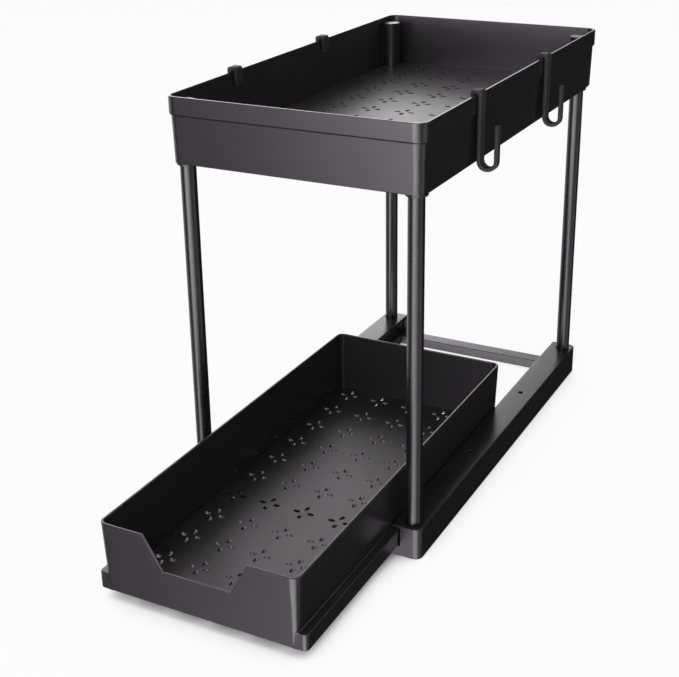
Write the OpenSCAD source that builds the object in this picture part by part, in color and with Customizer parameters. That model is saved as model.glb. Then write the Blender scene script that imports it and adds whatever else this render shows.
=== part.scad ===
// Two-tier organizer for the space under a sink.
// A base of two hollow rails and two low ties carries four tube posts and a fixed upper tray.
// A lower drawer with a scooped front slides along channels in the rails, and is drawn pulled out.
// Four J-shaped hooks hang over the long rims of the upper tray and slide along them.
// Front is -Y, the long side runs along Y, and z = 0 is the surface the base stands on.

/* [Overall] */
// Width over the upper rim, 8 inches
overall_w = 203.2; // [200:0.2:216]
// Length over the upper rim, 15 inches
overall_l = 381; // [375:1:400]
// Height from the floor to the upper rim, 13 inches
overall_h = 330.2; // [280:0.2:360]

/* [Upper tray] */
// Height of the tray from its lower edge to its rim
tray_h = 50; // [44:1:60]
// Thickness of the tray's walls and floor
tray_wall = 2; // [1.6:0.2:2.4]
// Corner radius of the rim
tray_corner_r = 9; // [8:0.5:11]
// Height of the proud band under the rim
band_h = 14; // [12:1:16]
// How far the band stands out from the wall below it
band_out = 1.5; // [1:0.25:2]
// How much the walls lean in from band to lower edge
tray_draft = 1; // [0.5:0.25:1.5]
// Height of the floor's upper face above the lower edge
tray_floor_rise = 6; // [5:0.5:8]

/* [Base] */
// Height of the rails
base_h = 25.4; // [24:0.2:28]
// How far each side of the base sits in from the rim above it
base_inset = 1; // [0.5:0.25:2]
// Distance from the middle of the upper tray to the front end of the base
base_front = 189; // [187:0.5:190]
// Distance from the middle of the upper tray to the rear end of the base
base_rear = 181; // [180:0.5:188]
// Width of a rail's top plate
plate_w = 22.8; // [22.6:0.2:23.4]
// Thickness of a rail's top plate
plate_t = 2.8; // [2.4:0.2:3]
// Height of the ties and of the ledge that the drawer runs on
tie_h = 8.4; // [7:0.2:9]
// Depth of a tie from front to back
tie_d = 14; // [10:1:18]
// Distance of each fixing screw from the middle of the tray, along the rail
screw_y = 60; // [50:1:70]
// Diameter of a fixing screw hole
screw_d = 4; // [3.4:0.2:4.6]

/* [Posts] */
// Outer diameter of a post
post_d = 12; // [11:0.5:12.5]
// Wall of a post
post_wall = 1.2; // [1:0.1:1.6]
// Distance of a post's axis from the middle plane
post_x = 91.3; // [91:0.1:91.8]
// Distance of the front posts from the middle of the tray
post_front = 179.2; // [178.6:0.1:179.6]
// Distance of the rear posts from the middle of the tray
post_rear = 170; // [168:0.5:171]

/* [Drawer] */
// Length of the drawer over its rim
drawer_l = 362.7; // [355:0.1:364]
// Height of the drawer's rim above the floor
drawer_top = 64.3; // [58:0.1:72]
// Wall thickness of the drawer
drawer_wall = 2; // [1.6:0.2:2.4]
// How far the drawer is drawn out past the front of the base
drawer_out = 142.9; // [20:0.1:180]
// Height of the front scoop's lower edge above the floor
scoop_z = 38; // [32:1:46]
// Half width of the scoop at the rim
scoop_top = 41.3; // [36:0.1:50]
// Half width of the scoop at its lower edge
scoop_low = 26.7; // [20:0.1:34]
// Gap between the drawer and the rails on every side
slide_gap = 0.6; // [0.4:0.1:0.8]

/* [Perforation] */
// Flowers across a floor
flowers_x = 5; // [3:2:5]
// Flowers along a floor
flowers_y = 11; // [5:2:11]
// Pitch of the flowers across the floor
pitch_x = 30.4; // [26:0.2:31]
// Pitch of the flowers along the floor
pitch_y = 32.8; // [28:0.2:32.8]
// Length of one petal slot
petal_l = 5.6; // [4:0.2:6]
// Width of one petal slot
petal_w = 3.4; // [2:0.2:4]
// Distance of a petal's middle from the middle of its flower
petal_out = 6.1; // [5.4:0.1:7]

/* [Hooks] */
// Width of a hook's strap
hook_w = 9; // [7:0.5:11]
// Thickness of a hook
hook_t = 3; // [2.4:0.2:3.2]
// Width of a hook's tip
hook_tip_w = 5.5; // [4:0.5:7]
// Radius of the J along its middle
hook_bend_r = 6.25; // [5.5:0.25:8]
// Height of the middle of the bend above the tray's lower edge
hook_bend_rise = 2.4; // [1:0.2:6]
// Height of the tip above the middle of the bend
hook_tip_h = 26; // [18:1:27]
// Place of the front hooks along the rim
hook_front_y = -95; // [-120:1:-60]
// Place of the rear hooks along the rim
hook_rear_y = 48; // [20:1:80]

/* [Hidden] */

$fn = 48;
eps = 0.01;
black = [0.09, 0.09, 0.1];
black_gloss = [0.13, 0.13, 0.14];

// Upper tray: corner axes stay put while the corner radius changes with height
tray_z = overall_h - tray_h;
band_z = overall_h - band_h;
tray_cx = overall_w / 2 - tray_corner_r;
tray_cy = overall_l / 2 - tray_corner_r;
wall_r_top = tray_corner_r - band_out;
wall_r_low = wall_r_top - tray_draft;
tray_floor_z = tray_z + tray_floor_rise;
tray_floor_r = wall_r_low - tray_wall + 0.1;

// Post sockets under and inside the tray
socket_r = post_d / 2 + 1.5;
socket_top_z = overall_h - 4;
socket_roof = 2;
collar_r = post_d / 2 + 2.2;
collar_drop = 1.8;

// Base
base_hw = overall_w / 2 - base_inset;
base_l = base_front + base_rear;
base_corner_r = 6;
plate_in = base_hw - plate_w;
flange_reach = 5.6;
channel_x = plate_in + flange_reach + slide_gap;
guide_t = 2;
outer_t = 2.4;
end_block = 22;
stop_t = 5.5;
pillar_r = 4.2;
screw_x = channel_x + pillar_r + 0.3;
post_floor_z = 4;

// Drawer: its rest place is drawn out, and its front face is at drawer_front_y
drawer_z = tie_h + slide_gap;
drawer_h = drawer_top - drawer_z;
drawer_r_low = 4;
drawer_r_top = 6.4;
drawer_lean = (drawer_r_top - drawer_r_low) / drawer_h;
drawer_cx = plate_in - slide_gap - drawer_r_low - drawer_lean * (base_h - drawer_z);
drawer_front_y = -base_front - drawer_out;
drawer_mid_y = drawer_front_y + drawer_l / 2;
drawer_cy = drawer_l / 2 - drawer_r_top;
drawer_floor_t = 2;
drawer_floor_r = drawer_r_low - drawer_wall + 0.2;
flange_hw = channel_x - slide_gap;
flange_z = base_h - plate_t - slide_gap;
flange_r = 3.5;
flange_t = 1.8;

// Hooks: clear of the rim by hook_gap on every side
hook_gap = 0.4;
strap_x = overall_w / 2 + hook_gap;
lip_x = overall_w / 2 - tray_wall - hook_gap;
lip_z = band_z + tray_wall + 1;
hook_top_z = overall_h + hook_gap + hook_t;
bend_x = strap_x + hook_t / 2 + hook_bend_r;
bend_z = tray_z + hook_bend_rise;
tip_x = bend_x + hook_bend_r;

// The origin is the middle of the box around the whole object, on the floor
origin_y = (drawer_front_y + overall_l / 2) / 2;

// Block with rounded upright corners whose axes stay put while the radius goes from r0 to r1
module draft_block(cx, cy, r0, r1, h) {
    rotate([90, 0, 0])
        linear_extrude(2 * cy, center = true)
            polygon([[-cx - r0, 0], [cx + r0, 0], [cx + r1, h], [-cx - r1, h]]);
    rotate([90, 0, 90])
        linear_extrude(2 * cx, center = true)
            polygon([[-cy - r0, 0], [cy + r0, 0], [cy + r1, h], [-cy - r1, h]]);
    for (sx = [-1, 1])
        for (sy = [-1, 1])
            translate([sx * cx, sy * cy, 0])
                cylinder(h = h, r1 = r0, r2 = r1);
}

// Block with rounded upright corners of one radius
module round_block(cx, cy, r, h) {
    translate([-cx - r, -cy, 0])
        cube([2 * (cx + r), 2 * cy, h]);
    translate([-cx, -cy - r, 0])
        cube([2 * cx, 2 * (cy + r), h]);
    for (sx = [-1, 1])
        for (sy = [-1, 1])
            translate([sx * cx, sy * cy, 0])
                cylinder(h = h, r = r);
}

// Petal slot with round ends, lying along X and reaching down through a floor
module petal(h) {
    run = petal_l - petal_w;
    translate([-run / 2, -petal_w / 2, 0])
        cube([run, petal_w, h]);
    for (s = [-1, 1])
        translate([s * run / 2, 0, 0])
            cylinder(h = h, d = petal_w, $fn = 16);
}

// Four petals in a cross
module flower(h) {
    for (turn = [0, 90, 180, 270])
        rotate([0, 0, turn])
            translate([petal_out, 0, 0])
                petal(h);
}

// The field of flowers, centred on the floor
module flower_field(h) {
    for (i = [0 : flowers_x - 1])
        for (j = [0 : flowers_y - 1])
            translate([(i - (flowers_x - 1) / 2) * pitch_x, (j - (flowers_y - 1) / 2) * pitch_y, 0])
                flower(h);
}

// Places its children at the four post axes
module at_posts() {
    for (sx = [-1, 1])
        for (y = [-post_front, post_rear])
            translate([sx * post_x, y, 0])
                children();
}

// Walls of the upper tray: drafted wall, proud band, and a socket for each post
module upper_tray() {
    color(black_gloss)
        difference() {
            union() {
                difference() {
                    union() {
                        translate([0, 0, tray_z])
                            draft_block(tray_cx, tray_cy, wall_r_low, wall_r_top, band_z - tray_z);
                        translate([0, 0, band_z])
                            round_block(tray_cx, tray_cy, tray_corner_r, band_h);
                    }
                    translate([0, 0, tray_z - eps])
                        round_block(tray_cx, tray_cy, tray_floor_r, tray_floor_rise + eps);
                    translate([0, 0, tray_floor_z])
                        draft_block(tray_cx, tray_cy, tray_floor_r, wall_r_top - tray_wall,
                                    band_z - tray_floor_z);
                    translate([0, 0, band_z])
                        round_block(tray_cx, tray_cy, wall_r_top - tray_wall, tray_wall);
                    translate([0, 0, band_z + tray_wall])
                        round_block(tray_cx, tray_cy, tray_corner_r - tray_wall, band_h);
                }
                at_posts()
                    translate([0, 0, tray_z - collar_drop])
                        cylinder(h = socket_top_z - tray_z + collar_drop, r = socket_r);
                at_posts()
                    translate([0, 0, tray_z - collar_drop])
                        cylinder(h = collar_drop + 2, r = collar_r);
            }
            at_posts()
                translate([0, 0, tray_z - 10])
                    cylinder(h = socket_top_z - socket_roof - tray_z + 10, d = post_d);
        }
}

// Perforated floor of the upper tray
module upper_tray_floor() {
    color(black)
        translate([0, 0, tray_floor_z - tray_wall])
            difference() {
                round_block(tray_cx, tray_cy, tray_floor_r, tray_wall);
                at_posts()
                    translate([0, 0, -1])
                        cylinder(h = tray_wall + 2, r = socket_r);
                translate([0, 0, -1])
                    flower_field(tray_wall + 2);
            }
}

// Flange that runs in the channels, hollow from below and closed at both ends
module drawer_flange() {
    flange_h = flange_z - drawer_z;
    difference() {
        round_block(flange_hw - flange_r, drawer_l / 2 - drawer_r_top + drawer_r_low - flange_r,
                    flange_r, flange_h);
        for (s = [-1, 1])
            translate([s * (flange_hw + drawer_cx + drawer_r_low) / 2, 0, (flange_h - flange_t) / 2 - eps])
                cube([flange_hw - drawer_cx - drawer_r_low - 2 * flange_t, drawer_l - 20,
                      flange_h - flange_t + 2 * eps], center = true);
    }
}

// Walls of the drawer with the scooped front
module drawer() {
    floor_top = drawer_z + drawer_floor_t;
    color(black_gloss)
        translate([0, drawer_mid_y, 0])
            difference() {
                union() {
                    translate([0, 0, drawer_z])
                        draft_block(drawer_cx, drawer_cy, drawer_r_low, drawer_r_top, drawer_h);
                    translate([0, 0, drawer_z])
                        drawer_flange();
                }
                translate([0, 0, drawer_z - 1])
                    round_block(drawer_cx, drawer_cy, drawer_floor_r, drawer_floor_t + 1);
                translate([0, 0, floor_top])
                    draft_block(drawer_cx, drawer_cy, drawer_floor_r, drawer_r_top - drawer_wall,
                                drawer_top - floor_top);
                translate([0, 10 - drawer_l / 2, 0])
                    rotate([90, 0, 0])
                        linear_extrude(20)
                            polygon([[-scoop_low, scoop_z], [scoop_low, scoop_z],
                                     [scoop_top, drawer_top], [scoop_top, drawer_top + 5],
                                     [-scoop_top, drawer_top + 5], [-scoop_top, drawer_top]]);
            }
}

// Perforated floor of the drawer
module drawer_floor() {
    color(black)
        translate([0, drawer_mid_y, drawer_z])
            difference() {
                round_block(drawer_cx, drawer_cy, drawer_floor_r, drawer_floor_t);
                translate([0, 0, -1])
                    flower_field(drawer_floor_t + 2);
            }
}

// Right-hand rail: top plate, drawer channel, hollow side, post blocks and screw pillars
module rail() {
    mid_y = (base_rear - base_front) / 2;
    hollow_x = channel_x + guide_t;
    under_z = base_h - plate_t;
    difference() {
        union() {
            difference() {
                intersection() {
                    translate([0, mid_y, 0])
                        round_block(base_hw - base_corner_r, base_l / 2 - base_corner_r, base_corner_r, base_h);
                    translate([plate_in, -base_front - 1, -1])
                        cube([plate_w + 1, base_l + 2, base_h + 2]);
                }
                translate([plate_in - 1, -base_front - 1, tie_h])
                    cube([channel_x - plate_in + 1, base_l + 1 - stop_t, under_z - tie_h]);
                translate([hollow_x, end_block - base_front, -1])
                    cube([base_hw - outer_t - hollow_x, base_l - 2 * end_block, under_z + 1]);
            }
            for (y = [-screw_y, screw_y])
                translate([screw_x, y, 0])
                    cylinder(h = base_h, r = pillar_r);
        }
        for (y = [-screw_y, screw_y])
            translate([screw_x, y, -1])
                cylinder(h = base_h + 2, d = screw_d);
        for (y = [-post_front, post_rear])
            translate([post_x, y, post_floor_z])
                cylinder(h = base_h, d = post_d);
    }
}

module rail_right() {
    color(black)
        rail();
}

module rail_left() {
    color(black)
        mirror([1, 0, 0])
            rail();
}

// Low bar between the two rails, with its front edge at y
module tie(y) {
    color(black)
        translate([-plate_in, y, 0])
            cube([2 * plate_in, tie_d, tie_h]);
}

module front_tie() {
    tie(-base_front);
}

module rear_tie() {
    tie(base_rear - tie_d - 2);
}

// Tube post from the rail block into the socket of the tray
module post(sx, y) {
    length = socket_top_z - socket_roof - post_floor_z;
    color(black_gloss)
        translate([sx * post_x, y, post_floor_z])
            difference() {
                cylinder(h = length, d = post_d);
                translate([0, 0, -1])
                    cylinder(h = length + 2, d = post_d - 2 * post_wall);
            }
}

module post_front_left() {
    post(-1, -post_front);
}

module post_front_right() {
    post(1, -post_front);
}

module post_rear_left() {
    post(-1, post_rear);
}

module post_rear_right() {
    post(1, post_rear);
}

// Side view of a hook on the right-hand rim: lip, bridge and strap round the rim's slot, bend and tip
module hook_profile() {
    crown_r = 2.2;
    difference() {
        union() {
            translate([lip_x - hook_t, lip_z])
                square([hook_t, hook_top_z - crown_r - lip_z]);
            translate([lip_x - hook_t + crown_r, hook_top_z - hook_t])
                square([strap_x + hook_t - lip_x + hook_t - 2 * crown_r, hook_t]);
            translate([lip_x - hook_t + crown_r, hook_top_z - crown_r])
                circle(r = crown_r);
            translate([strap_x + hook_t - crown_r, hook_top_z - crown_r])
                circle(r = crown_r);
            translate([strap_x, bend_z])
                square([hook_t, hook_top_z - crown_r - bend_z]);
        }
        translate([lip_x, lip_z - 1])
            square([strap_x - lip_x, hook_top_z - hook_t - lip_z + 1]);
    }
    difference() {
        translate([bend_x, bend_z])
            circle(r = hook_bend_r + hook_t / 2);
        translate([bend_x, bend_z])
            circle(r = hook_bend_r - hook_t / 2);
        translate([bend_x - 2 * hook_bend_r, bend_z])
            square([4 * hook_bend_r, 2 * hook_bend_r]);
    }
    translate([tip_x - hook_t / 2, bend_z])
        square([hook_t, hook_tip_h]);
}

// Hook on the right-hand rim at place y, narrowing from the strap to the tip
module hook(y) {
    narrow_x = strap_x + hook_t;
    color(black_gloss)
        translate([0, y, 0])
            intersection() {
                rotate([90, 0, 0])
                    linear_extrude(hook_w + 2, center = true)
                        hook_profile();
                translate([0, 0, tray_z - 20])
                    linear_extrude(tray_h + 40)
                        polygon([[lip_x - 10, -hook_w / 2], [narrow_x, -hook_w / 2],
                                 [tip_x - hook_t, -hook_tip_w / 2], [tip_x + 10, -hook_tip_w / 2],
                                 [tip_x + 10, hook_tip_w / 2], [tip_x - hook_t, hook_tip_w / 2],
                                 [narrow_x, hook_w / 2], [lip_x - 10, hook_w / 2]]);
            }
}

module hook_front_right() {
    hook(hook_front_y);
}

module hook_rear_right() {
    hook(hook_rear_y);
}

module hook_front_left() {
    mirror([1, 0, 0])
        hook(hook_front_y);
}

module hook_rear_left() {
    mirror([1, 0, 0])
        hook(hook_rear_y);
}

// Moves a sub-part from tray-centred places to the object's own origin
module place() {
    translate([0, -origin_y, 0])
        children();
}

place() upper_tray();
place() upper_tray_floor();
place() drawer();
place() drawer_floor();
place() rail_left();
place() rail_right();
place() front_tie();
place() rear_tie();
place() post_front_left();
place() post_front_right();
place() post_rear_left();
place() post_rear_right();
place() hook_front_left();
place() hook_front_right();
place() hook_rear_left();
place() hook_rear_right();
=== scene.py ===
"""Looks of a two-tier organizer for the space under a sink.

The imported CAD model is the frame. The two perforated floors keep their own meshes. Every other CAD node is
stood for by a merged copy of its mesh with rounded edges. All wear procedural black plastics.
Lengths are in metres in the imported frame: front is -Y, up is +Z and z = 0 is the surface it stands on.
"""

import logging
import math
from collections.abc import Callable
from dataclasses import dataclass, field
from enum import Enum

import bmesh
import bpy
from mathutils import Matrix, Vector


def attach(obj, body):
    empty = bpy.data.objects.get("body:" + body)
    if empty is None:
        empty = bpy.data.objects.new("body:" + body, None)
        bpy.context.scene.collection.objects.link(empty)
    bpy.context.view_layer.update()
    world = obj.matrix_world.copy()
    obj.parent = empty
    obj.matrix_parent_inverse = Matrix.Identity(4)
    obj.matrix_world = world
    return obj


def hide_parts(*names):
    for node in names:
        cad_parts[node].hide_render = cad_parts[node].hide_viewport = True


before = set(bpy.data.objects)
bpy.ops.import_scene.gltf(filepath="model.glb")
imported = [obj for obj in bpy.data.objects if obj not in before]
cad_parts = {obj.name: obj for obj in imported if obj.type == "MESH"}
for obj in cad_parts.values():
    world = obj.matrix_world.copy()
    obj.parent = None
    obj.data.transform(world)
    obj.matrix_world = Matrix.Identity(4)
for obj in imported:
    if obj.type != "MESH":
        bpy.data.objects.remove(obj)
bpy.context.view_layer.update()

MM = 0.001
PHOTO_WIDTH = 679
NODE_SPACING = 180

logging.basicConfig(level=logging.INFO, format="%(levelname)s %(message)s")
log = logging.getLogger("organizer")

Colour = tuple[float, float, float]
Profile = tuple[tuple[float, float], ...]
Window = tuple[float, float, float, float]
Value = bpy.types.NodeSocket | float | tuple[float, ...]
Reshaping = Callable[[Vector], Vector]

WHITE: Colour = (1.0, 1.0, 1.0)


class Slot(Enum):
    """Names of material slots."""

    TRAY = "tray_black"
    DRAWER = "drawer_black"
    RAIL = "rail_black"
    POST = "post_black"
    HOOK = "hook_black"


class Side(Enum):
    """The two sides, as seen from the front."""

    LEFT = "left"
    RIGHT = "right"


class End(Enum):
    """The two ends."""

    FRONT = "front"
    REAR = "rear"


def corner_names(kind: str) -> list[str]:
    """The names of the four nodes of a kind, one for each corner."""
    return [f"{kind}_{end.value}_{side.value}" for end in End for side in Side]


# Shader node groups


@dataclass
class NodeMaker:
    """Adds nodes to one shader tree. A value is a socket to link or a constant to set."""

    tree: bpy.types.NodeTree

    def node(self, kind: str, **values: object) -> bpy.types.Node:
        """Adds a node.

        Args:
            kind: The node type without its ShaderNode prefix.
            values: Attributes to set on the node.

        Returns:
            The node.
        """
        made = self.tree.nodes.new(f"ShaderNode{kind}")
        made.location = (len(self.tree.nodes) * NODE_SPACING, 0)
        for key, value in values.items():
            setattr(made, key, value)
        return made

    def plug(self, value: Value, target: bpy.types.NodeSocket) -> None:
        """Gives an input its value.

        Args:
            value: A socket to link or a constant to set.
            target: The input.
        """
        if isinstance(value, bpy.types.NodeSocket):
            self.tree.links.new(value, target)
        else:
            target.default_value = value

    def maths(self, operation: str, *values: Value) -> bpy.types.NodeSocket:
        """Adds a Math node.

        Args:
            operation: The Math node's operation.
            values: Its sockets or numbers, in order.

        Returns:
            The result socket.
        """
        made = self.node("Math", operation=operation)
        for value, target in zip(values, made.inputs):
            self.plug(value, target)
        return made.outputs[0]

    def ranged(
        self,
        value: bpy.types.NodeSocket,
        start: float,
        end: float,
        low: float = 0.0,
        high: float = 1.0,
        blend: str = "LINEAR",
    ) -> bpy.types.NodeSocket:
        """Maps a value from start..end to low..high and holds it there beyond.

        Args:
            value: The value.
            start: Where the result is low.
            end: Where the result is high.
            low: The result at start.
            high: The result at end.
            blend: LINEAR or SMOOTHSTEP.

        Returns:
            The result socket.
        """
        made = self.node("MapRange", clamp=True, interpolation_type=blend)
        for name, constant in (("From Min", start), ("From Max", end), ("To Min", low), ("To Max", high)):
            made.inputs[name].default_value = constant
        self.plug(value, made.inputs["Value"])
        return made.outputs["Result"]

    def mixed(self, mask: bpy.types.NodeSocket, low: Value, high: Colour) -> bpy.types.NodeSocket:
        """Mixes two colours.

        Args:
            mask: How much of the second colour shows.
            low: The first colour or its socket.
            high: The second colour.

        Returns:
            The colour socket.
        """
        made = self.node("Mix", data_type="RGBA")
        self.plug(mask, made.inputs["Factor"])
        self.plug(low if isinstance(low, bpy.types.NodeSocket) else opaque(low), made.inputs["A"])
        self.plug(opaque(high), made.inputs["B"])
        return made.outputs["Result"]

    def cloud(
        self,
        place: bpy.types.NodeSocket,
        scale: Value,
        detail: float,
        roughness: float = 0.5,
        distortion: float = 0.0,
    ) -> bpy.types.NodeSocket:
        """Adds a noise texture.

        Args:
            place: The coordinates.
            scale: Its scale, a socket or a number.
            detail: Its octaves.
            roughness: How strong the finer octaves are.
            distortion: How far it is warped.

        Returns:
            Its value socket.
        """
        made = self.node("TexNoise", noise_dimensions="3D")
        values = (place, scale, detail, roughness, distortion)
        for name, value in zip(("Vector", "Scale", "Detail", "Roughness", "Distortion"), values):
            self.plug(value, made.inputs[name])
        return made.outputs["Fac"]

    def stretched(
        self, place: bpy.types.NodeSocket, scale: tuple[float, ...], turn: tuple[float, ...]
    ) -> bpy.types.NodeSocket:
        """Scales and turns coordinates.

        Args:
            place: The coordinates.
            scale: The scale along each axis.
            turn: The angle about each axis, in radians.

        Returns:
            The new coordinates.
        """
        made = self.node("Mapping")
        for name, value in (("Vector", place), ("Scale", scale), ("Rotation", turn)):
            self.plug(value, made.inputs[name])
        return made.outputs["Vector"]

    def mix_shaders(
        self, share: bpy.types.NodeSocket, first: bpy.types.NodeSocket, second: bpy.types.NodeSocket
    ) -> bpy.types.NodeSocket:
        """Mixes two shaders.

        Args:
            share: How much of the second shader shows.
            first: The first shader.
            second: The second shader.

        Returns:
            The shader socket.
        """
        made = self.node("MixShader")
        for value, target in zip((share, first, second), made.inputs):
            self.plug(value, target)
        return made.outputs["Shader"]


def opaque(colour: Colour) -> tuple[float, float, float, float]:
    """The colour with full alpha."""
    return (*colour, 1.0)


@dataclass
class GroupMaker(NodeMaker):
    """Builds one shared node group, which takes a place and floats and returns one float."""

    inside: bpy.types.Node
    outside: bpy.types.Node

    @classmethod
    def start(cls, name: str, result: str, **inputs: float) -> "GroupMaker":
        """Makes the empty group.

        Args:
            name: The group's name.
            result: The name of its Float output.
            inputs: The names and default values of its Float inputs.

        Returns:
            The maker of its nodes.
        """
        tree = bpy.data.node_groups.new(name, "ShaderNodeTree")
        tree.interface.new_socket("Place", in_out="INPUT", socket_type="NodeSocketVector")
        for key, value in inputs.items():
            made = tree.interface.new_socket(key, in_out="INPUT", socket_type="NodeSocketFloat")
            made.default_value = value
        tree.interface.new_socket(result, in_out="OUTPUT", socket_type="NodeSocketFloat")
        return cls(tree, tree.nodes.new("NodeGroupInput"), tree.nodes.new("NodeGroupOutput"))

    def given(self, name: str) -> bpy.types.NodeSocket:
        """The group's input of that name."""
        return self.inside.outputs[name]

    def finish(self, value: bpy.types.NodeSocket) -> bpy.types.NodeTree:
        """Makes the value the group's output and returns the group."""
        self.plug(value, self.outside.inputs[0])
        return self.tree


def grain_group() -> bpy.types.NodeTree:
    """Builds the fine sparked grain of a mould: Place, Scale -> Height.

    Returns:
        The group.
    """
    pit_scale, pit_softness = 0.55, 0.6
    group = GroupMaker.start("mould_grain", "Height", Scale=2500.0)
    place, scale = group.given("Place"), group.given("Scale")
    fine = group.cloud(place, scale, detail=2.0, roughness=0.55)
    pits = group.node("TexVoronoi", feature="SMOOTH_F1")
    group.plug(pit_softness, pits.inputs["Smoothness"])
    group.plug(place, pits.inputs["Vector"])
    group.plug(group.maths("MULTIPLY", scale, pit_scale), pits.inputs["Scale"])
    return group.finish(group.maths("ADD", fine, pits.outputs["Distance"]))


def flow_group() -> bpy.types.NodeTree:
    """Builds the slow drift of tone that melt flow and handling leave: Place, Scale -> Value.

    Returns:
        The group.
    """
    group = GroupMaker.start("flow_marks", "Value", Scale=9.0)
    place = group.stretched(group.given("Place"), scale=(1.0, 0.45, 1.6), turn=(0.3, 0.1, 0.4))
    return group.finish(group.cloud(place, group.given("Scale"), detail=4.0, distortion=0.6))


def worn_and_highlit_edge_group() -> bpy.types.NodeTree:
    """Builds the mask of uneven wear and painted highlight where the surface turns over an edge: Place, Width
    -> Mask.

    Returns:
        The group.
    """
    flat, turned = 0.995, 0.9
    patch_scale, patch_start, patch_full, least_wear_and_highlight = 160.0, 0.35, 0.65, 0.45
    group = GroupMaker.start("rubbed_and_highlit_edges", "Mask", Width=0.0008)
    # This mask lightens the tone over edges: partly rubbed wear, partly a painted highlight.
    rounded = group.node("Bevel", samples=4)
    group.plug(group.given("Width"), rounded.inputs["Radius"])
    likeness = group.node("VectorMath", operation="DOT_PRODUCT")
    group.plug(rounded.outputs["Normal"], likeness.inputs[0])
    group.plug(group.node("NewGeometry").outputs["Normal"], likeness.inputs[1])
    over_edge = group.ranged(likeness.outputs["Value"], flat, turned)
    patches = group.cloud(group.given("Place"), patch_scale, detail=3.0)
    uneven = group.ranged(patches, patch_start, patch_full, low=least_wear_and_highlight)
    return group.finish(group.maths("MULTIPLY", over_edge, uneven))


def dust_group() -> bpy.types.NodeTree:
    """Builds the mask of thin dust on faces that look up: Place, Amount -> Mask.

    Returns:
        The group.
    """
    steep, level = 0.55, 1.0
    clump_scale, clump_start, clump_full = 26.0, 0.4, 0.72
    group = GroupMaker.start("settled_dust", "Mask", Amount=0.3)
    parts = group.node("SeparateXYZ")
    group.plug(group.node("NewGeometry").outputs["Normal"], parts.inputs["Vector"])
    upward = group.ranged(parts.outputs["Z"], steep, level)
    clumps = group.cloud(group.given("Place"), clump_scale, detail=6.0, roughness=0.62)
    spread = group.maths("MULTIPLY", upward, group.ranged(clumps, clump_start, clump_full))
    return group.finish(group.maths("MULTIPLY", spread, group.given("Amount")))


def scuff_group() -> bpy.types.NodeTree:
    """Builds the mask of hairline scuffs along one direction: Place, Amount -> Mask.

    Returns:
        The group.
    """
    line_start, line_full = 0.63, 0.72
    group = GroupMaker.start("hairline_scuffs", "Mask", Amount=0.3)
    place = group.stretched(group.given("Place"), scale=(620.0, 14.0, 240.0), turn=(0.0, 0.0, 0.12))
    lines = group.ranged(group.cloud(place, scale=1.0, detail=2.0), line_start, line_full)
    return group.finish(group.maths("MULTIPLY", lines, group.given("Amount")))


@dataclass
class ShaderGroups:
    """The shared effects, built once."""

    grain: bpy.types.NodeTree = field(default_factory=grain_group)
    flow: bpy.types.NodeTree = field(default_factory=flow_group)
    edge: bpy.types.NodeTree = field(default_factory=worn_and_highlit_edge_group)
    dust: bpy.types.NodeTree = field(default_factory=dust_group)
    scuff: bpy.types.NodeTree = field(default_factory=scuff_group)


# Finishes


PLASTIC_IOR = 1.5
DUST_COLOUR: Colour = (0.16, 0.155, 0.15)
FLOW_SPREAD = (0.3, 0.7)
FLOW_DARKENING = 0.86
RUBBED_ROUGHNESS = -0.08
SCUFF_ROUGHNESS = 0.12
DUST_ROUGHNESS = 0.25
FULL_BUMP = 1.0


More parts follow.
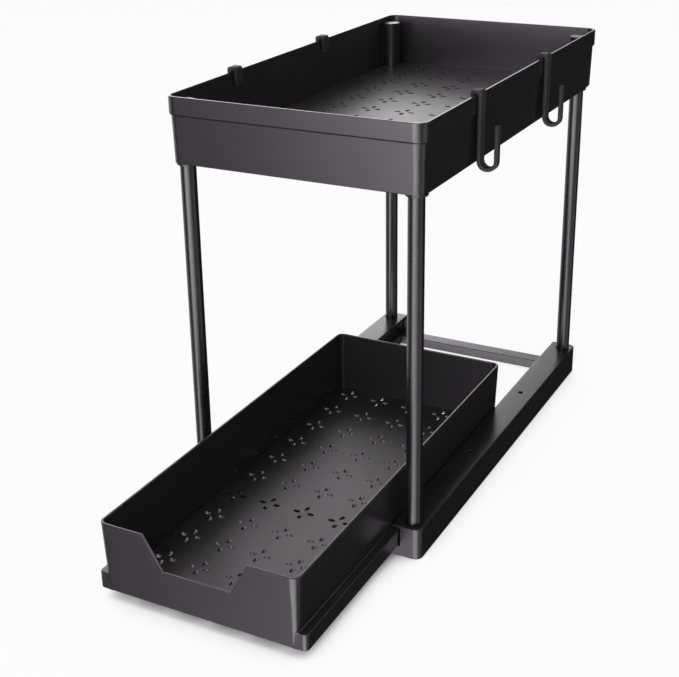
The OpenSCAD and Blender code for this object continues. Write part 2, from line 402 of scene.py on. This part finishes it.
@dataclass(frozen=True)
class PlasticFinish:
    """A black moulded plastic and the marks it carries, with a painted highlight over its edges."""

    name: str
    colour: Colour
    # Colour of scuffs and edges: rubbed wear on scuffs; over edges partly rubbed wear, partly a painted
    # highlight.
    rubbed_and_highlit: Colour
    roughness: float
    roughness_drift: float
    grain_scale: float
    grain_depth: float
    edge_width: float
    dust: float
    scuffs: float
    specular: float = 0.5
    sheen_tint: Colour = (1.0, 0.93, 0.99)

    def build(self, groups: ShaderGroups) -> bpy.types.Material:
        """Makes the material.

        Args:
            groups: The shared shader groups.

        Returns:
            The material, on Object coordinates.
        """
        material = bpy.data.materials.new(self.name)
        material.use_nodes = True
        make = NodeMaker(material.node_tree)
        shader = make.tree.nodes["Principled BSDF"]
        shader.inputs["Specular IOR Level"].default_value = self.specular
        shader.inputs["Specular Tint"].default_value = opaque(self.sheen_tint)
        shader.inputs["IOR"].default_value = PLASTIC_IOR
        place = make.node("TexCoord").outputs["Object"]

        def effect(group: bpy.types.NodeTree, **values: float) -> bpy.types.NodeSocket:
            """Places a shared group in this material.

            Args:
                group: The group.
                values: The values of its inputs.

            Returns:
                Its output.
            """
            made = make.node("Group", node_tree=group)
            make.plug(place, made.inputs["Place"])
            for key, value in values.items():
                made.inputs[key].default_value = value
            return made.outputs[0]

        flow = effect(groups.flow)
        edge = effect(groups.edge, Width=self.edge_width)
        dust = effect(groups.dust, Amount=self.dust)
        scuff = effect(groups.scuff, Amount=self.scuffs)
        grain = effect(groups.grain, Scale=self.grain_scale)

        darker = tuple(FLOW_DARKENING * part for part in self.colour)
        tone = make.mixed(make.ranged(flow, *FLOW_SPREAD), darker, self.colour)
        # Edges get a lighter tone that is partly rubbed wear and partly a painted highlight; scuffs and dust
        # are real marks.
        for mask, colour in ((edge, self.rubbed_and_highlit), (scuff, self.rubbed_and_highlit), (dust, DUST_COLOUR)):
            tone = make.mixed(mask, tone, colour)
        make.plug(tone, shader.inputs["Base Color"])

        smoothest, roughest = self.roughness - self.roughness_drift, self.roughness + self.roughness_drift
        rough = make.ranged(flow, *FLOW_SPREAD, smoothest, roughest)
        for mask, gain in ((edge, RUBBED_ROUGHNESS), (scuff, SCUFF_ROUGHNESS), (dust, DUST_ROUGHNESS)):
            rough = make.maths("MULTIPLY_ADD", mask, gain, rough)
        make.plug(rough, shader.inputs["Roughness"])

        bump = make.node("Bump")
        bump.inputs["Strength"].default_value = FULL_BUMP
        bump.inputs["Distance"].default_value = self.grain_depth
        make.plug(grain, bump.inputs["Height"])
        make.plug(bump.outputs["Normal"], shader.inputs["Normal"])
        return material


TRAY_FINISH = PlasticFinish(
    name="tray_satin_black",
    colour=(0.0165, 0.0159, 0.0167),
    rubbed_and_highlit=(0.040, 0.038, 0.040),
    roughness=0.26,
    roughness_drift=0.015,
    grain_scale=2600.0,
    grain_depth=0.00001,
    edge_width=0.0009,
    dust=0.06,
    scuffs=0.03,
)
DRAWER_FINISH = PlasticFinish(
    name="drawer_satin_black",
    colour=(0.0190, 0.0184, 0.0192),
    rubbed_and_highlit=(0.040, 0.038, 0.040),
    roughness=0.26,
    roughness_drift=0.015,
    grain_scale=2600.0,
    grain_depth=0.00001,
    edge_width=0.0009,
    dust=0.06,
    scuffs=0.04,
)
FLOOR_FINISH = PlasticFinish(
    name="floor_satin_black",
    colour=(0.0165, 0.0159, 0.0167),
    rubbed_and_highlit=(0.040, 0.038, 0.040),
    roughness=0.36,
    roughness_drift=0.02,
    grain_scale=2000.0,
    grain_depth=0.00002,
    edge_width=0.0006,
    dust=0.06,
    scuffs=0.06,
)
RAIL_FINISH = PlasticFinish(
    name="rail_matte_black",
    colour=(0.0145, 0.0140, 0.0147),
    rubbed_and_highlit=(0.038, 0.036, 0.038),
    roughness=0.27,
    roughness_drift=0.02,
    grain_scale=1300.0,
    grain_depth=0.00003,
    edge_width=0.0009,
    dust=0.03,
    scuffs=0.05,
)
POST_FINISH = PlasticFinish(
    name="post_lacquer_black",
    colour=(0.0090, 0.0087, 0.0092),
    rubbed_and_highlit=(0.035, 0.033, 0.035),
    roughness=0.28,
    roughness_drift=0.015,
    grain_scale=3200.0,
    grain_depth=0.00001,
    edge_width=0.0006,
    dust=0.04,
    scuffs=0.03,
)
HOOK_FINISH = PlasticFinish(
    name="hook_soft_black",
    colour=(0.0240, 0.0232, 0.0243),
    rubbed_and_highlit=(0.042, 0.040, 0.042),
    roughness=0.62,
    roughness_drift=0.02,
    grain_scale=3000.0,
    grain_depth=0.00001,
    edge_width=0.0006,
    dust=0.04,
    scuffs=0.03,
    specular=0.25,
)


# Dressing the CAD nodes


MERGE_DISTANCE = 0.002 * MM
LEAST_MOVE = 0.01 * MM
LEVEL_TOLERANCE = 0.05 * MM


@dataclass(frozen=True)
class EdgeRounding:
    """How the sharp edges of a dressed copy are rounded, and which level edge is rounded wider."""

    width: float
    segments: int = 3
    from_angle: float = 32.0
    wide_width: float = 0.0
    wide_level: float = 0.0

    def widest(self) -> float:
        """The widest rounding."""
        return max(self.width, self.wide_width)

    def weigh(self, shape: bmesh.types.BMesh, moved: set[bmesh.types.BMVert]) -> None:
        """Writes the bevel weight of each sharp edge of the shape.

        Args:
            shape: The mesh.
            moved: Corners whose edges stay sharp instead.
        """
        weights = shape.edges.layers.float.new("bevel_weight_edge")
        for edge in shape.edges:
            edge.smooth = True
            if len(edge.link_faces) != 2 or edge.calc_face_angle() < math.radians(self.from_angle):
                continue
            if moved.intersection(edge.verts):
                edge.smooth = False
            else:
                edge[weights] = (self.wide_width if self.is_wide(edge) else self.width) / self.widest()

    def add_modifiers(self, piece: bpy.types.Object) -> None:
        """Adds the rounding and the shading that keeps flat faces flat.

        Args:
            piece: The piece, with weighed edges.
        """
        bevel = piece.modifiers.new("rounded_edges", "BEVEL")
        bevel.width = self.widest()
        bevel.segments = self.segments
        bevel.limit_method = "WEIGHT"
        bevel.use_clamp_overlap = False
        bevel.miter_outer = "MITER_ARC"
        bevel.loop_slide = False
        level = piece.modifiers.new("level_shading", "WEIGHTED_NORMAL")
        level.keep_sharp = True

    def is_wide(self, edge: bmesh.types.BMEdge) -> bool:
        """True for an outward edge at the wide level."""
        level = all(abs(vert.co.z - self.wide_level) < LEVEL_TOLERANCE for vert in edge.verts)
        return self.wide_width > 0.0 and level and edge.is_convex


def move_corners(shape: bmesh.types.BMesh, reshape: Reshaping) -> set[bmesh.types.BMVert]:
    """Moves the corners of a mesh.

    Args:
        shape: The mesh.
        reshape: Where each corner goes.

    Returns:
        The corners that moved.
    """
    moved = set()
    for vert in shape.verts:
        place = reshape(vert.co)
        if (place - vert.co).length > LEAST_MOVE:
            moved.add(vert)
            vert.co = place
    return moved


@dataclass
class Dresser:
    """Makes the pieces that stand for CAD nodes, each in its finish."""

    groups: ShaderGroups
    materials: dict[str, bpy.types.Material] = field(default_factory=dict)

    def material(self, finish: PlasticFinish) -> bpy.types.Material:
        """Gives a finish's material, which is built at its first use.

        Args:
            finish: The finish.

        Returns:
            The material.
        """
        if finish.name not in self.materials:
            self.materials[finish.name] = finish.build(self.groups)
        return self.materials[finish.name]

    def dress_node(self, node: str, finish: PlasticFinish) -> None:
        """Gives a CAD node's own mesh a finish.

        Args:
            node: The CAD node.
            finish: The finish.
        """
        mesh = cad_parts[node].data
        mesh.materials.clear()
        mesh.materials.append(self.material(finish))

    def finish_piece(
        self, piece: bpy.types.Object, node: str, body: str, finish: PlasticFinish
    ) -> bpy.types.Object:
        """Gives a piece its material and its body, gives the node that it stands for the same finish and
        hides it, and logs both.

        Args:
            piece: The new piece, with its place in its mesh.
            node: The CAD node that it replaces.
            body: The CAD body that it rides on.
            finish: Its finish.

        Returns:
            The piece.
        """
        piece.data.materials.clear()
        piece.data.materials.append(self.material(finish))
        self.dress_node(node, finish)
        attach(piece, body)
        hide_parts(node)
        log.info("%s: %d faces, rides on %s, stands for %s", piece.name, len(piece.data.polygons), body, node)
        return piece

    def rounded_copy(
        self, node: str, name: str, rounding: EdgeRounding, reshape: Reshaping | None = None
    ) -> bpy.types.Object:
        """Makes a merged copy of a CAD node's mesh with rounded edges.

        Args:
            node: The CAD node.
            name: The new piece's name.
            rounding: How its edges are rounded.
            reshape: Where each corner of the copy goes, or None to keep them all.

        Returns:
            The new object, at the origin.
        """
        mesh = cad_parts[node].data.copy()
        mesh.name = name
        shape = bmesh.new()
        shape.from_mesh(mesh)
        bmesh.ops.remove_doubles(shape, verts=shape.verts, dist=MERGE_DISTANCE)
        moved = move_corners(shape, reshape) if reshape else set()
        for face in shape.faces:
            face.smooth = True
        shape.normal_update()
        rounding.weigh(shape, moved)
        shape.to_mesh(mesh)
        shape.free()
        piece = bpy.data.objects.new(name, mesh)
        bpy.context.scene.collection.objects.link(piece)
        rounding.add_modifiers(piece)
        return piece


def radius_at(profile: Profile, height: float) -> float:
    """Reads the radius of a profile.

    Args:
        profile: Its points, each a height and a radius, from the lowest up.
        height: The height to read it at.

    Returns:
        The radius, which is the last point's above the profile.
    """
    for (start, first), (end, last) in zip(profile, profile[1:]):
        if height <= end:
            return first + (last - first) * (height - start) / (end - start)
    return profile[-1][1]


def node_box(node: str) -> tuple[Vector, Vector]:
    """Measures a CAD node.

    Args:
        node: The CAD node.

    Returns:
        The low and the high corner of its box.
    """
    places = [vert.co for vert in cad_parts[node].data.vertices]
    low, high = (Vector([pick(place[axis] for place in places) for axis in range(3)]) for pick in (min, max))
    return low, high


@dataclass
class UpperTray:
    """The fixed tray: walls with a proud band, post sockets and a perforated floor.

    The inner wall is told by its corner radius, which grows from the floor to the rim.
    """

    corner_radius: float = 9.0 * MM
    band_height: float = 14.0 * MM
    floor_depth: float = 44.0 * MM
    wall: float = 2.0 * MM
    floor_radius: float = 4.6 * MM
    step_radius: float = 5.5 * MM
    ledge_rise: float = 1.0 * MM
    rounding: float = 0.55 * MM
    band_rounding: float = 1.2 * MM
    nearness: float = 0.08 * MM
    low: Vector = field(init=False)
    high: Vector = field(init=False)

    def __post_init__(self) -> None:
        """Takes the tray's box from the frame."""
        self.low, self.high = node_box("upper_tray")

    def step(self) -> Profile:
        """Gives the inner wall's profile in the CAD model, up to the ledge behind the band.

        Returns:
            The profile.
        """
        top = self.high.z
        return (
            (top - self.floor_depth, self.floor_radius),
            (top - self.band_height, self.step_radius),
            (top - self.band_height + self.wall, self.step_radius),
        )

    def slope(self) -> Profile:
        """The inner wall's even profile in the photograph, from the floor to the rim."""
        return (self.high.z - self.floor_depth, self.floor_radius), (self.high.z, self.rim_radius())

    def rim_radius(self) -> float:
        """The corner radius inside the rim."""
        return self.corner_radius - self.wall

    def even_inside(self, corner: Vector) -> Vector:
        """Moves a corner of the inner wall's step onto the one even slope that the photograph shows.

        Args:
            corner: A corner of the walls' mesh.

        Returns:
            Its new place, which is the old one for a corner that isn't on the inner wall.
        """
        inset = Vector((self.corner_radius, self.corner_radius, 0.0))
        low, high = self.low + inset, self.high - inset
        x, y = (min(max(corner[axis], low[axis]), high[axis]) for axis in range(2))
        out = Vector((corner.x - x, corner.y - y, 0.0))
        step = self.step()
        (floor_level, _), (ledge_level, ledge_start) = step[0], step[-1]
        past_step = out.length - radius_at(step, corner.z)
        on_ledge = abs(corner.z - ledge_level) < self.nearness and past_step > -self.nearness
        in_height = floor_level - self.nearness < corner.z < ledge_level + self.nearness
        on_wall = in_height and abs(past_step) < self.nearness
        if not (on_wall or on_ledge) or out.length > self.rim_radius() + self.nearness:
            return corner
        rise = self.ledge_rise * past_step / (self.rim_radius() - ledge_start) if on_ledge else 0.0
        z = corner.z + rise
        return Vector((x, y, z)) + out.normalized() * radius_at(self.slope(), z)

    def build(self, dresser: Dresser) -> list[bpy.types.Object]:
        """Makes the tray's walls and dresses its floor.

        Args:
            dresser: The maker of the pieces.

        Returns:
            The pieces.
        """
        band_level = self.high.z - self.band_height
        edges = EdgeRounding(self.rounding, wide_width=self.band_rounding, wide_level=band_level)
        walls = dresser.rounded_copy("upper_tray", "tray_walls", edges, self.even_inside)
        dresser.dress_node("upper_tray_floor", FLOOR_FINISH)
        return [dresser.finish_piece(walls, "upper_tray", "frame", TRAY_FINISH)]


@dataclass
class Drawer:
    """The sliding drawer: walls with a scooped front and side flanges, and a perforated floor."""

    wall_rounding: EdgeRounding = EdgeRounding(0.6 * MM)

    def build(self, dresser: Dresser) -> list[bpy.types.Object]:
        """Makes the drawer's walls and dresses its floor.

        Args:
            dresser: The maker of the pieces.

        Returns:
            The pieces.
        """
        walls = dresser.rounded_copy("drawer", "drawer_walls", self.wall_rounding)
        dresser.dress_node("drawer_floor", FLOOR_FINISH)
        return [dresser.finish_piece(walls, "drawer", "drawer", DRAWER_FINISH)]


@dataclass
class Base:
    """Two hollow rails and the two low ties between them."""

    rail_rounding: EdgeRounding = EdgeRounding(0.8 * MM)
    tie_rounding: EdgeRounding = EdgeRounding(0.6 * MM)

    def build(self, dresser: Dresser) -> list[bpy.types.Object]:
        """Makes the rails and the ties.

        Args:
            dresser: The maker of the pieces.

        Returns:
            The pieces.
        """
        rails = [f"rail_{side.value}" for side in Side]
        ties = [f"{end.value}_tie" for end in End]
        made = []
        for names, rounding in ((rails, self.rail_rounding), (ties, self.tie_rounding)):
            for name in names:
                piece = dresser.rounded_copy(name, f"base_{name}", rounding)
                made.append(dresser.finish_piece(piece, name, "frame", RAIL_FINISH))
        return made


@dataclass
class PostSet:
    """The four tube posts."""

    rounding: EdgeRounding = EdgeRounding(0.3 * MM, segments=2)

    def build(self, dresser: Dresser) -> list[bpy.types.Object]:
        """Makes the posts.

        Args:
            dresser: The maker of the pieces.

        Returns:
            The pieces.
        """
        made = []
        for name in corner_names("post"):
            post = dresser.rounded_copy(name, f"tube_{name}", self.rounding)
            made.append(dresser.finish_piece(post, name, "frame", POST_FINISH))
        return made


@dataclass
class HookSet:
    """The four hooks, each on a body of its own."""

    rounding: EdgeRounding = EdgeRounding(0.7 * MM)

    def build(self, dresser: Dresser) -> list[bpy.types.Object]:
        """Makes the hooks.

        Args:
            dresser: The maker of the pieces.

        Returns:
            The pieces.
        """
        made = []
        for name in corner_names("hook"):
            hook = dresser.rounded_copy(name, f"rim_{name}", self.rounding)
            made.append(dresser.finish_piece(hook, name, name, HOOK_FINISH))
        return made


# Camera, floor and lights


@dataclass(frozen=True)
class PhotoCamera:
    """The camera at the photograph's place.

    Angles are in degrees, and focal_px and lift_px are in pixels of the photograph.
    """

    place: tuple[float, float, float] = (0.42087, -0.84835, 0.53019)
    azimuth: float = 27.72
    elevation: float = 21.3
    roll: float = 0.87
    focal_px: float = 1265.0
    lift_px: float = -54.0
    sensor_width: float = 36.0
    clip: tuple[float, float] = (0.02, 60.0)

    def build(self) -> bpy.types.Object:
        """Makes the scene's camera.

        Returns:
            The camera.
        """
        data = bpy.data.cameras.new("photo_camera")
        data.sensor_width = self.sensor_width
        data.lens = data.sensor_width * self.focal_px / PHOTO_WIDTH
        data.shift_y = self.lift_px / PHOTO_WIDTH
        data.clip_start, data.clip_end = self.clip
        camera = bpy.data.objects.new("photo_camera", data)
        camera.matrix_world = (
            Matrix.Translation(self.place)
            @ Matrix.Rotation(math.radians(self.azimuth), 4, "Z")
            @ Matrix.Rotation(math.radians(90.0 - self.elevation), 4, "X")
            @ Matrix.Rotation(math.radians(-self.roll), 4, "Z")
        )
        bpy.context.scene.collection.objects.link(camera)
        bpy.context.scene.camera = camera
        return camera


@dataclass(frozen=True)
class Softbox:
    """A rectangular soft light that the camera doesn't see."""

    name: str
    place: tuple[float, float, float]
    aim: tuple[float, float, float]
    width: float
    height: float
    radiance: float

    def build(self) -> bpy.types.Object:
        """Makes the light, with its power worked out from the brightness of its face.

        Returns:
            The light.
        """
        data = bpy.data.lights.new(self.name, "AREA")
        data.shape = "RECTANGLE"
        data.size, data.size_y = self.width, self.height
        data.energy = self.radiance * math.pi * self.width * self.height
        light = bpy.data.objects.new(self.name, data)
        towards = Vector(self.aim) - Vector(self.place)
        turn = towards.to_track_quat("-Z", "Y").to_matrix().to_4x4()
        light.matrix_world = Matrix.Translation(self.place) @ turn
        light.visible_camera = light.visible_glossy = False
        bpy.context.scene.collection.objects.link(light)
        return light


@dataclass(frozen=True)
class Panel:
    """A soft-edged panel of the surround that only gloss sees, in degrees around the object.

    Azimuth 0 is the front and 90 the right, counted from the panel's turn. Each window is where the panel
    begins, where it is full, where it is still full and where it ends.
    """

    name: str
    turn: float
    azimuth: Window
    elevation: Window
    radiance: float

    def brightness(self, make: NodeMaker, way: bpy.types.NodeSocket) -> bpy.types.NodeSocket:
        """Adds the nodes that give the panel's brightness along a direction.

        Args:
            make: The maker of the world's nodes.
            way: The direction.

        Returns:
            The brightness socket.
        """
        turned = make.node("VectorRotate", label=self.name, rotation_type="Z_AXIS")
        turned.inputs["Angle"].default_value = -math.radians(self.turn)
        make.plug(way, turned.inputs["Vector"])
        parts = make.node("SeparateXYZ")
        make.plug(turned.outputs["Vector"], parts.inputs["Vector"])
        forward = make.maths("MULTIPLY", parts.outputs["Y"], -1.0)
        azimuth = make.maths("ARCTAN2", parts.outputs["X"], forward)
        elevation = make.maths("ARCSINE", parts.outputs["Z"])
        across = inside(make, azimuth, self.azimuth)
        seen = make.maths("MULTIPLY", across, inside(make, elevation, self.elevation))
        return make.maths("MULTIPLY", seen, self.radiance)


def inside(make: NodeMaker, angle: bpy.types.NodeSocket, window: Window) -> bpy.types.NodeSocket:
    """Rises smoothly over the window's first two angles and falls over its last two.

    Args:
        make: The maker of the nodes.
        angle: The angle, in radians.
        window: The four angles, in degrees.

    Returns:
        A socket that is 1 inside the window and 0 outside it.
    """
    begin, full, still_full, end = (math.radians(edge) for edge in window)
    rise = make.ranged(angle, begin, full, blend="SMOOTHSTEP")
    fall = make.ranged(angle, still_full, end, blend="SMOOTHSTEP")
    return make.maths("MULTIPLY", rise, make.maths("SUBTRACT", 1.0, fall))


@dataclass
class Studio:
    """A pale floor, a white surround with soft panels for gloss, and soft lights.

    The camera sees the floor lifted towards white by floor_lift wherever nothing stands within contact_reach.
    """

    floor_half: float = 14.0
    floor_lift: float = 0.93
    paper_colour: Colour = (0.8, 0.8, 0.8)
    contact_reach: float = 0.04
    contact_samples: int = 12
    contact_fade: tuple[float, float] = (0.1, 0.7)
    ambient: float = 0.42
    gloss_floor: float = 0.02
    panels: tuple[Panel, ...] = (
        Panel("key_high", 0.0, (-32.0, -16.0, -10.0, 56.0), (-32.0, -13.0, 12.0, 34.0), 8.8),
        Panel("key_low", 0.0, (-32.0, 4.0, 34.0, 72.0), (-75.0, -55.0, -36.0, -16.0), 5.4),
        Panel("front_fill", 0.0, (-50.0, -24.0, -10.0, 20.0), (-62.0, -44.0, -30.0, -15.0), 0.8),
        Panel("low_left", 0.0, (-46.0, -30.0, -10.0, 10.0), (-70.0, -50.0, -40.0, -34.0), 0.9),
        Panel("left", -98.0, (-36.0, -14.0, 14.0, 36.0), (-50.0, -25.0, -4.0, 12.0), 1.1),
        Panel("left_low", -60.0, (-20.0, -5.0, 5.0, 20.0), (-50.0, -25.0, 10.0, 40.0), 0.2),
        Panel("right", 92.0, (-34.0, -12.0, 10.0, 26.0), (-50.0, -25.0, -4.0, 12.0), 1.0),
        Panel("back", -158.0, (-16.0, 0.0, 20.0, 40.0), (-50.0, -25.0, -8.0, 4.0), 1.1),
        Panel("back_left", -150.0, (-30.0, 4.0, 30.0, 60.0), (6.0, 26.0, 46.0, 70.0), 2.2),
        Panel("back_left_low", -150.0, (-18.0, -3.0, 30.0, 60.0), (0.0, 9.0, 16.0, 23.0), 4.4),
        Panel("back_right", 125.0, (-18.0, -8.0, 6.0, 14.0), (2.0, 8.0, 14.0, 22.0), 5.0),
        Panel("overhead", 0.0, (-181.0, -180.0, 180.0, 181.0), (50.0, 80.0, 91.0, 92.0), 1.7),
    )
    boxes: tuple[Softbox, ...] = (
        Softbox("front_softbox", (0.45, -1.75, 0.95), (0.0, -0.1, 0.2), 1.2, 1.2, 2.6),
        Softbox("back_left_softbox", (-1.0, 1.6, 1.1), (0.0, 0.0, 0.15), 1.6, 1.1, 1.3),
        Softbox("top_softbox", (-0.4, -0.4, 1.9), (0.0, 0.0, 0.1), 1.4, 1.4, 1.8),
    )

    def build(self) -> None:
        """Makes the floor, the surround and the lights."""
        self.floor()
        self.surround()
        for box in self.boxes:
            box.build()

    def floor(self) -> bpy.types.Object:
        """Makes the pale floor, which keeps the object's shadow and which gloss sees through.

        Returns:
            The floor.
        """
        shape = bmesh.new()
        bmesh.ops.create_grid(shape, x_segments=1, y_segments=1, size=self.floor_half)
        mesh = bpy.data.meshes.new("studio_floor")
        shape.to_mesh(mesh)
        shape.free()
        floor = bpy.data.objects.new("studio_floor", mesh)
        bpy.context.scene.collection.objects.link(floor)
        mesh.materials.append(self.paper())
        return floor

    def paper(self) -> bpy.types.Material:
        """Makes the floor's material: white to the camera, but for the soft shadow near the object.

        Returns:
            The material.
        """
        material = bpy.data.materials.new("studio_floor_white")
        material.use_nodes = True
        make = NodeMaker(material.node_tree)
        make.tree.nodes.clear()
        ray = make.node("LightPath")
        diffuse = make.node("BsdfDiffuse")
        diffuse.inputs["Color"].default_value = opaque(self.paper_colour)
        white = make.node("Emission")
        clear = make.node("BsdfTransparent")
        near = make.node("AmbientOcclusion", samples=self.contact_samples)
        near.inputs["Distance"].default_value = self.contact_reach
        lift = make.ranged(near.outputs["AO"], *self.contact_fade, high=self.floor_lift, blend="SMOOTHSTEP")
        seen = make.maths("MULTIPLY", ray.outputs["Is Camera Ray"], lift)
        lifted = make.mix_shaders(seen, diffuse.outputs["BSDF"], white.outputs["Emission"])
        opened = make.mix_shaders(ray.outputs["Is Glossy Ray"], lifted, clear.outputs["BSDF"])
        make.plug(opened, make.node("OutputMaterial").inputs["Surface"])
        return material

    def surround(self) -> None:
        """Sets the world: white to the camera, panels on dark to gloss, and an even dim light to the rest."""
        world = bpy.data.worlds.new("studio_surround")
        bpy.context.scene.world = world
        world.use_nodes = True
        make = NodeMaker(world.node_tree)
        ray = make.node("LightPath")
        camera, gloss = ray.outputs["Is Camera Ray"], ray.outputs["Is Glossy Ray"]
        way = make.node("TexCoord").outputs["Generated"]
        sheen: Value = self.gloss_floor
        for panel in self.panels:
            sheen = make.maths("ADD", sheen, panel.brightness(make, way))
        other = make.maths("SUBTRACT", 1.0, make.maths("MAXIMUM", camera, gloss))
        level = make.maths("MULTIPLY_ADD", gloss, sheen, camera)
        level = make.maths("MULTIPLY_ADD", other, self.ambient, level)
        back = make.tree.nodes["Background"]
        back.inputs["Color"].default_value = opaque(WHITE)
        make.plug(level, back.inputs["Strength"])


def main() -> None:
    """Builds the sub-assemblies, then the studio."""
    bpy.context.scene.view_settings.view_transform = "Standard"
    PhotoCamera().build()
    dresser = Dresser(ShaderGroups())
    for assembly in (UpperTray(), Drawer(), Base(), PostSet(), HookSet()):
        pieces = assembly.build(dresser)
        log.info("%s: %d pieces", type(assembly).__name__, len(pieces))
    Studio().build()


if __name__ == "__main__":
    main()
